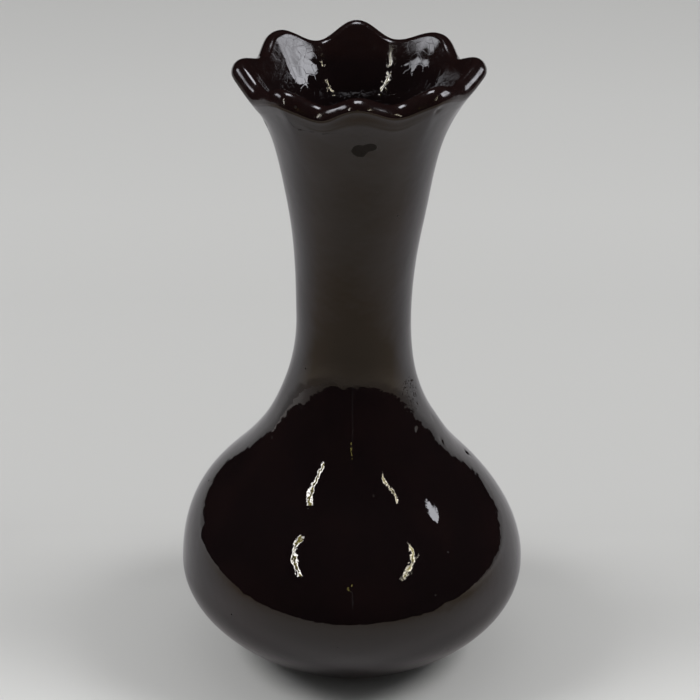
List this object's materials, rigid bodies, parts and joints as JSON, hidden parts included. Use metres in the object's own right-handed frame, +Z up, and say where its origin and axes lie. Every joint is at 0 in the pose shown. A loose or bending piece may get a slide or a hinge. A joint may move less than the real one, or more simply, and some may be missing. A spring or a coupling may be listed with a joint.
{
  "type": "bottle vase",
  "caption": "Free-standing pottery bottle vase with a round belly, tall narrow neck and flared scalloped mouth, in a mirror-black glaze; holds flowers or stands as an ornament.",
  "frame": {"origin": "on the table, at the centre of the foot ring, which is the centre of the bounding box's bottom", "axes": "+Z up the neck, +X to the right of the picture, +Y away from its camera"},
  "size_m": [0.1088, 0.1088, 0.1986],
  "materials": {
    "clay": "fired, unglazed, matt",
    "slip": "fired joining slip, matt",
    "glaze": "mirror-black gloss"
  },
  "bodies": {
    "root": {"clay_belly": "clay", "luting_slip": "slip", "clay_neck": "clay", "outer_glaze": "glaze", "inner_glaze": "glaze"}
  },
  "joints": []
}
